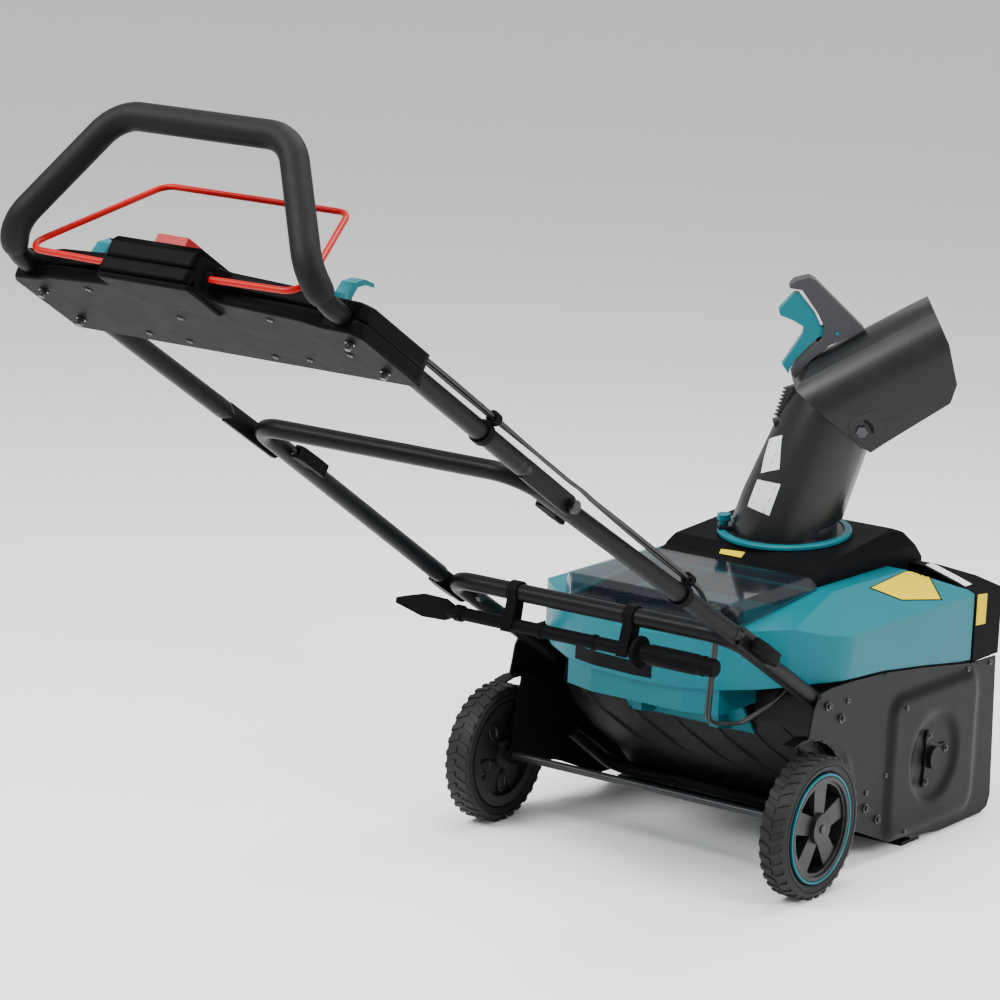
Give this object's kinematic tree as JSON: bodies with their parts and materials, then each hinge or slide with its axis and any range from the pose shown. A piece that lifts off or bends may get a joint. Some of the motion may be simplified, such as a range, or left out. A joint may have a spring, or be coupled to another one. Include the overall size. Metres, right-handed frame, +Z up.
{
  "type": "snow blower",
  "caption": "Walk-behind cordless snow blower: paddle auger housing, turning chute with tilting deflector, folding tube handle, console, safety bail, wheels and clip-on cleaning tool.",
  "frame": {"origin": "centre of the bounding box in plan, at ground level", "axes": "+X to the operator's right, +Y forward towards the auger mouth, +Z up"},
  "size_m": [0.61, 1.6872, 1.1404],
  "materials": {
    "teal_plastic": "satin moulded teal",
    "black_plastic": "fine grained black moulding",
    "housing_plastic": "coarser black moulding",
    "black_steel": "satin black powder coat on steel",
    "tyre": "moulded black tread",
    "rubber": "matt black rubber",
    "cord_rubber": "satin black cord sheath",
    "red_rod": "gloss red coating on steel rod",
    "red_plastic": "gloss red moulding",
    "zinc": "bright zinc plate",
    "smoked_clear": "smoked clear moulding",
    "foam": "closed cell foam sleeve",
    "dark_steel": "dark coated steel",
    "battery": "black battery case",
    "grey_plastic": "dark grey moulding"
  },
  "bodies": {
    "chassis": {"auger_housing": "housing_plastic", "scraper_blade": "dark_steel", "side_panel_right": "black_steel", "side_panel_left": "black_steel", "bearing_flange_right": "black_steel", "bearing_flange_left": "black_steel", "drive_motor": "dark_steel", "drive_belt": "rubber", "controller_box": "black_plastic", "hood": "teal_plastic", "top_cover": "black_plastic", "chute_ring": "teal_plastic", "battery_tray": "teal_plastic", "battery_left": "battery", "battery_right": "battery", "axle_rod": "zinc", "lower_frame": "black_steel", "bottom_tube": "black_steel", "tool_clip_left": "black_plastic", "tool_clip_right": "black_plastic", "hinge_bolt_low_right": "zinc", "hinge_bolt_low_left": "zinc", "cable_lower": "cord_rubber"},
    "wheel_right": {"tyre_right": "tyre", "rim_right": "black_plastic", "rim_ring_right": "teal_plastic"},
    "wheel_left": {"tyre_left": "tyre", "rim_left": "black_plastic", "rim_ring_left": "teal_plastic"},
    "auger": {"auger_shaft": "zinc", "auger_flights": "rubber"},
    "rotor": {"motor_rotor": "zinc"},
    "chute": {"chute_tube": "black_plastic", "deflector_bolt_right": "zinc", "deflector_bolt_left": "zinc"},
    "chute_lock": {"lock_knob": "teal_plastic"},
    "deflector_head": {"deflector": "black_plastic", "deflector_grip": "grey_plastic"},
    "tilt_trigger": {"deflector_trigger": "teal_plastic"},
    "lid": {"battery_lid": "smoked_clear"},
    "mid": {"mid_frame": "black_steel", "cable_clip_lower": "black_plastic", "cable_middle": "cord_rubber", "hinge_bolt_up_right": "zinc", "hinge_bolt_up_left": "zinc"},
    "upper": {"upper_handle": "black_steel", "foam_grip": "foam", "console_lower": "black_plastic", "console_upper": "black_plastic", "cable_clip_upper": "black_plastic", "cable_upper": "cord_rubber"},
    "bail_bar": {"bail": "red_rod"},
    "button": {"start_button": "red_plastic"},
    "console_lever_right": {"lever_right": "teal_plastic"},
    "console_lever_left": {"lever_left": "teal_plastic"},
    "cam_low_right": {"cam_lever_low_right": "black_plastic"},
    "cam_low_left": {"cam_lever_low_left": "black_plastic"},
    "cam_up_right": {"cam_lever_up_right": "black_plastic"},
    "cam_up_left": {"cam_lever_up_left": "black_plastic"},
    "clean_out_tool": {"cleaning_tool": "black_plastic"}
  },
  "joints": [
    {"name": "lower_fold", "type": "hinge", "parent": "chassis", "child": "mid", "pos_m": [0.013, 0.1715, 0.3634], "axis": [1, 0, 0], "range_deg": [-45, 0]},
    {"name": "upper_fold", "type": "hinge", "parent": "mid", "child": "upper", "pos_m": [0.013, -0.2895, 0.64], "axis": [1, 0, 0], "range_deg": [-90, 0]},
    {"name": "wheel_spin_right", "type": "hinge", "parent": "chassis", "child": "wheel_right", "pos_m": [0.281, 0.2915, 0.1015], "axis": [1, 0, 0], "continuous": true},
    {"name": "wheel_spin_left", "type": "hinge", "parent": "chassis", "child": "wheel_left", "pos_m": [-0.255, 0.2915, 0.1015], "axis": [1, 0, 0], "continuous": true},
    {"name": "auger_spin", "type": "hinge", "parent": "chassis", "child": "auger", "pos_m": [0.013, 0.6495, 0.125], "axis": [1, 0, 0], "continuous": true},
    {"name": "rotor_spin", "type": "hinge", "parent": "chassis", "child": "rotor", "pos_m": [-0.165, 0.3835, 0.316], "axis": [1, 0, 0], "continuous": true},
    {"name": "chute_turn", "type": "hinge", "parent": "chassis", "child": "chute", "pos_m": [0.013, 0.6245, 0.424], "axis": [0, -0.0872, 0.9962], "range_deg": [-41, 149]},
    {"name": "chute_lock_lift", "type": "slide", "parent": "chute", "child": "chute_lock", "axis": [0, -0.0872, 0.9962], "range_m": [0, 0.004], "stiffness_N_per_m": 150},
    {"name": "deflector_tilt", "type": "hinge", "parent": "chute", "child": "deflector_head", "pos_m": [0.09714, 0.67042, 0.60067], "axis": [0.5878, -0.8059, -0.0705], "range_deg": [-50, 0]},
    {"name": "tilt_trigger_pull", "type": "hinge", "parent": "deflector_head", "child": "tilt_trigger", "pos_m": [0.07125, 0.64025, 0.72954], "axis": [0.5878, -0.8059, -0.0705], "range_deg": [-4, 0], "stiffness_Nm_per_rad": 1.5, "springref_deg": 5.73},
    {"name": "lid_open", "type": "hinge", "parent": "chassis", "child": "lid", "pos_m": [0.013, 0.4855, 0.389], "axis": [1, 0, 0], "range_deg": [-68, 0]},
    {"name": "bail_lift", "type": "hinge", "parent": "upper", "child": "bail_bar", "pos_m": [0.013, -0.81045, 0.95925], "axis": [1, 0, 0], "range_deg": [0, 33], "stiffness_Nm_per_rad": 1, "springref_deg": -17.19},
    {"name": "button_press", "type": "slide", "parent": "upper", "child": "button", "axis": [0, 0.5225, 0.8526], "range_m": [-0.003, 0], "stiffness_N_per_m": 400, "springref_m": 0.002},
    {"name": "console_lever_pull_right", "type": "hinge", "parent": "upper", "child": "console_lever_right", "pos_m": [0.2, -0.7175, 0.9023], "axis": [1, 0, 0], "range_deg": [0, 15], "stiffness_Nm_per_rad": 0.4, "springref_deg": -5.73},
    {"name": "console_lever_pull_left", "type": "hinge", "parent": "upper", "child": "console_lever_left", "pos_m": [-0.174, -0.7175, 0.9023], "axis": [1, 0, 0], "range_deg": [0, 15], "stiffness_Nm_per_rad": 0.4, "springref_deg": -5.73},
    {"name": "cam_flip_low_right", "type": "hinge", "parent": "chassis", "child": "cam_low_right", "pos_m": [0.281, 0.1715, 0.3634], "axis": [0, 0.5145, 0.8575], "range_deg": [0, 90]},
    {"name": "cam_flip_low_left", "type": "hinge", "parent": "chassis", "child": "cam_low_left", "pos_m": [-0.255, 0.1715, 0.3634], "axis": [0, -0.5145, -0.8575], "range_deg": [0, 90]},
    {"name": "cam_flip_up_right", "type": "hinge", "parent": "mid", "child": "cam_up_right", "pos_m": [0.208, -0.2895, 0.64], "axis": [0, 0.5145, 0.8575], "range_deg": [0, 90]},
    {"name": "cam_flip_up_left", "type": "hinge", "parent": "mid", "child": "cam_up_left", "pos_m": [-0.182, -0.2895, 0.64], "axis": [0, -0.5145, -0.8575], "range_deg": [0, 90]},
    {"name": "tool_unclip", "type": "slide", "parent": "chassis", "child": "clean_out_tool", "axis": [0, -0.239, -0.971], "range_m": [0, 0.05]}
  ],
  "couplings": [
    {"joint": "rotor_spin", "follows": "auger_spin", "ratio": 2.9231}
  ]
}
